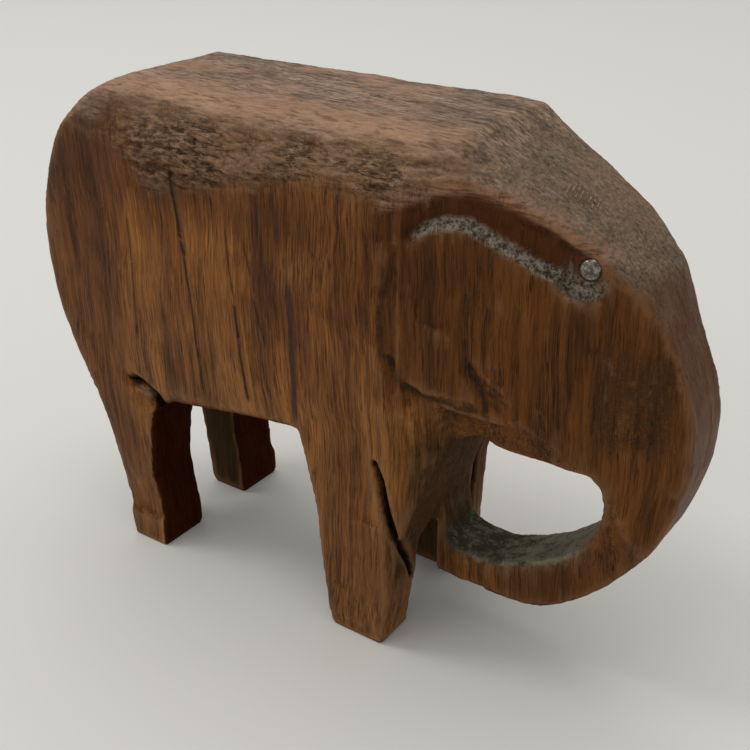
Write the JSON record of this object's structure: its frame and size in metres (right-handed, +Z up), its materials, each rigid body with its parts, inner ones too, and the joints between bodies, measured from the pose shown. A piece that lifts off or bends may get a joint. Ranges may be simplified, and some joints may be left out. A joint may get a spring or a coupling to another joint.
{
  "type": "carved wooden elephant figurine",
  "caption": "Hand-carved hardwood elephant on four square legs, its trunk curled back to the chest, with round-headed metal nails for eyes.",
  "frame": {"origin": "middle of the length and width, on the ground under the feet", "axes": "+X the way the elephant faces, +Y its left side, +Z up"},
  "size_m": [0.15, 0.043, 0.1124],
  "materials": {
    "wood": "hand-carved dark red-brown hardwood, weathered end grain on the back and brow, long open grain on the flanks",
    "nail": "tarnished round nail head, dull with a worn bright crown"
  },
  "bodies": {
    "root": {"carved_body": "wood", "right_eye_nail": "nail", "left_eye_nail": "nail"}
  },
  "joints": []
}
